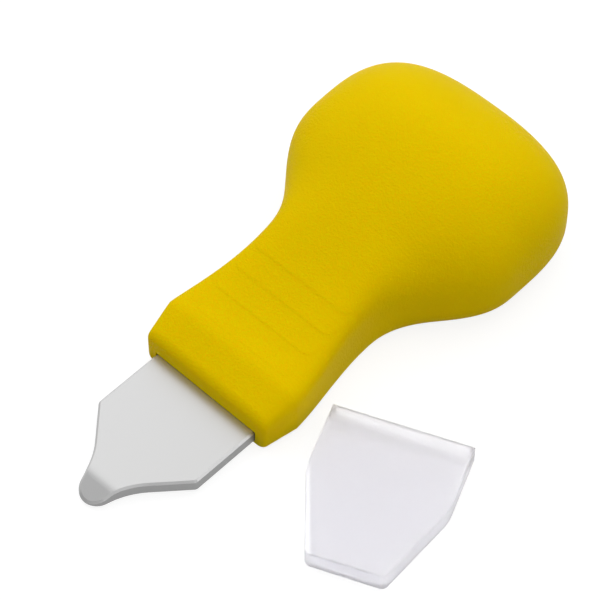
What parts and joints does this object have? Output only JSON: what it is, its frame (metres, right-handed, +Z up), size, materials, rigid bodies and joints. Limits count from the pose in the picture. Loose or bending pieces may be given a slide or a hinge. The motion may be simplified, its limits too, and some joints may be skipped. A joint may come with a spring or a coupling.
{
  "type": "painter's multi tool with blade cap",
  "caption": "Short palm-grip scraper and opener: flat steel blade with a round bevelled tip in a moulded bulb handle, and a push-on blade cap lying beside it.",
  "frame": {"origin": "half way along the tool's length, on its centre line, on the flat underside of the handle", "axes": "+Z up from the underside, +Y from the blade's tip to the rear of the handle, +X to the right seen from the rear"},
  "size_m": [0.0582, 0.083, 0.021],
  "materials": {
    "handle_plastic": "spark-eroded moulded ABS, yellow",
    "blade_steel": "fine ground stainless steel",
    "cap_plastic": "frosted natural polypropylene"
  },
  "bodies": {
    "tool": {"handle_shell": "handle_plastic", "base_cover": "handle_plastic", "blade": "blade_steel"},
    "cap": {"blade_cap": "cap_plastic"}
  },
  "joints": [
    {"name": "cap_pull_off", "type": "slide", "parent": "tool", "child": "cap", "axis": [0.3987, -0.9171, 0], "range_m": [0, 0.025]}
  ]
}
